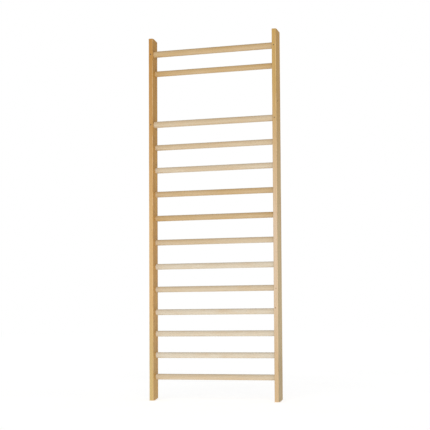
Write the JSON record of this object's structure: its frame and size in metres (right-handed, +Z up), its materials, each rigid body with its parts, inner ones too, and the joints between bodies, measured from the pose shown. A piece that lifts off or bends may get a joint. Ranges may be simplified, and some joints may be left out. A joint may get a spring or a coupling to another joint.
{
  "type": "wall bars",
  "caption": "Wooden wall bars: two upright stiles joined by horizontal oval rungs, for climbing, hanging and stretching, fastened to a wall by hanger bolts in its rear edges.",
  "frame": {"origin": "on the floor, midway between the stiles and midway through their depth", "axes": "+X to the right for someone facing the bars, +Y from the front towards the wall, +Z up"},
  "size_m": [0.9, 0.08, 2.4],
  "materials": {
    "stile_wood": "satin lacquered softwood",
    "rung_wood": "smooth sanded and lacquered hardwood",
    "screw_steel": "dull bronzed steel"
  },
  "bodies": {
    "root": {"stile_left": "stile_wood", "stile_right": "stile_wood", "rung_01": "rung_wood", "rung_02": "rung_wood", "rung_03": "rung_wood", "rung_04": "rung_wood", "rung_05": "rung_wood", "rung_06": "rung_wood", "rung_07": "rung_wood", "rung_08": "rung_wood", "rung_09": "rung_wood", "rung_10": "rung_wood", "rung_11": "rung_wood", "rung_12": "rung_wood", "rung_13": "rung_wood", "rung_14": "rung_wood", "front_screws_left": "screw_steel", "front_screws_right": "screw_steel", "wall_side_screws_left": "screw_steel", "wall_side_screws_right": "screw_steel"}
  },
  "joints": []
}
